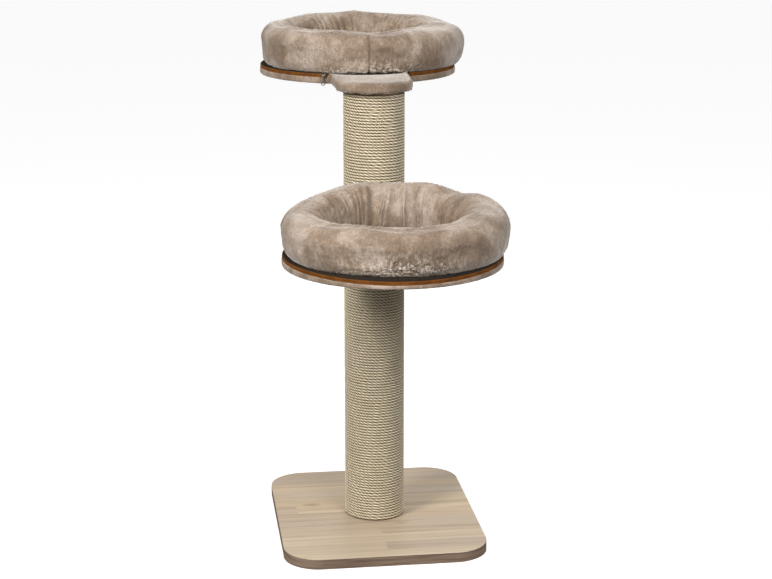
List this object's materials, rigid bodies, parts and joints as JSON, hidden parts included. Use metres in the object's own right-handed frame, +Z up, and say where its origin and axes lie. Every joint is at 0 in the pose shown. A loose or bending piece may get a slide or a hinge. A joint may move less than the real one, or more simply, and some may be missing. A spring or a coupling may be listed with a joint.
{
  "type": "cat tree",
  "caption": "Free-standing cat tree: a thick sisal-wrapped post on a flat board, carrying round zipped plush nest beds on keyhole boards, one to the front and one to the back.",
  "frame": {"origin": "on the post's axis, at the underside of the base board", "axes": "+Z up along the posts; the lower bed reaches towards -Y (the front) and the upper bed towards +Y (the back); +X to the right seen from the front"},
  "size_m": [0.522, 1.198, 1.2443],
  "materials": {
    "wood_decor": "matt printed wood decor on board, darker edge band",
    "plywood": "raw plywood",
    "cardboard": "wound cardboard tube",
    "sisal_rope": "natural twisted sisal rope, dry and fibrous",
    "plush": "short dense plush with brushed clumps",
    "zip_tape": "saddle-brown woven zip tape with a nylon coil",
    "zip_metal": "plated die-cast metal",
    "zinc_steel": "zinc-plated steel"
  },
  "bodies": {
    "stand": {"base_board": "wood_decor", "base_bolt": "zinc_steel", "base_washer": "zinc_steel", "lower_post_sisal": "sisal_rope", "lower_post_tube": "cardboard", "lower_post_bottom_plug": "plywood", "lower_post_top_plug": "plywood", "lower_post_bottom_insert": "zinc_steel", "lower_post_top_insert": "zinc_steel", "post_stud": "zinc_steel", "upper_post_sisal": "sisal_rope", "upper_post_tube": "cardboard", "upper_post_bottom_plug": "plywood", "upper_post_top_plug": "plywood", "upper_post_bottom_insert": "zinc_steel", "upper_post_top_insert": "zinc_steel", "top_washer": "zinc_steel", "top_bolt": "zinc_steel"},
    "lower_bed": {"lower_bed_board": "plywood", "lower_bed_cover": "plush", "lower_bed_zip_tape": "zip_tape"},
    "lower_nest": {"lower_nest_zip_tape": "zip_tape", "lower_nest_panel": "plush", "lower_nest_bolster": "plush", "lower_nest_floor_pad": "plush"},
    "lower_slider": {"lower_zip_slider": "zip_metal"},
    "lower_pull": {"lower_zip_pull": "zip_metal"},
    "upper_bed": {"upper_bed_board": "plywood", "upper_bed_cover": "plush", "upper_bed_zip_tape": "zip_tape"},
    "upper_nest": {"upper_nest_zip_tape": "zip_tape", "upper_nest_panel": "plush", "upper_nest_bolster": "plush", "upper_nest_floor_pad": "plush"},
    "upper_slider": {"upper_zip_slider": "zip_metal"},
    "upper_pull": {"upper_zip_pull": "zip_metal"}
  },
  "joints": [
    {"name": "lower_bed_swivel", "type": "hinge", "parent": "stand", "child": "lower_bed", "pos_m": [0, 0, 0.76], "axis": [0, 0, 1], "continuous": true},
    {"name": "upper_bed_swivel", "type": "hinge", "parent": "stand", "child": "upper_bed", "pos_m": [0, 0, 1.11], "axis": [0, 0, 1], "continuous": true},
    {"name": "lower_nest_lift", "type": "slide", "parent": "lower_bed", "child": "lower_nest", "axis": [0, 0, 1], "range_m": [0, 0.18]},
    {"name": "upper_nest_lift", "type": "slide", "parent": "upper_bed", "child": "upper_nest", "axis": [0, 0, 1], "range_m": [0, 0.18]},
    {"name": "lower_zip_run", "type": "hinge", "parent": "lower_bed", "child": "lower_slider", "pos_m": [0, -0.338, 0.77965], "axis": [0, 0, -1], "range_deg": [0, 308]},
    {"name": "upper_zip_run", "type": "hinge", "parent": "upper_bed", "child": "upper_slider", "pos_m": [0, 0.338, 1.12965], "axis": [0, 0, -1], "range_deg": [0, 308]},
    {"name": "lower_pull_swing", "type": "hinge", "parent": "lower_slider", "child": "lower_pull", "pos_m": [0.11251, -0.10505, 0.77965], "axis": [0.9005, -0.4349, 0], "range_deg": [-5, 120]},
    {"name": "upper_pull_swing", "type": "hinge", "parent": "upper_slider", "child": "upper_pull", "pos_m": [-0.11251, 0.10505, 1.12965], "axis": [-0.9005, 0.4349, 0], "range_deg": [-5, 120]}
  ]
}
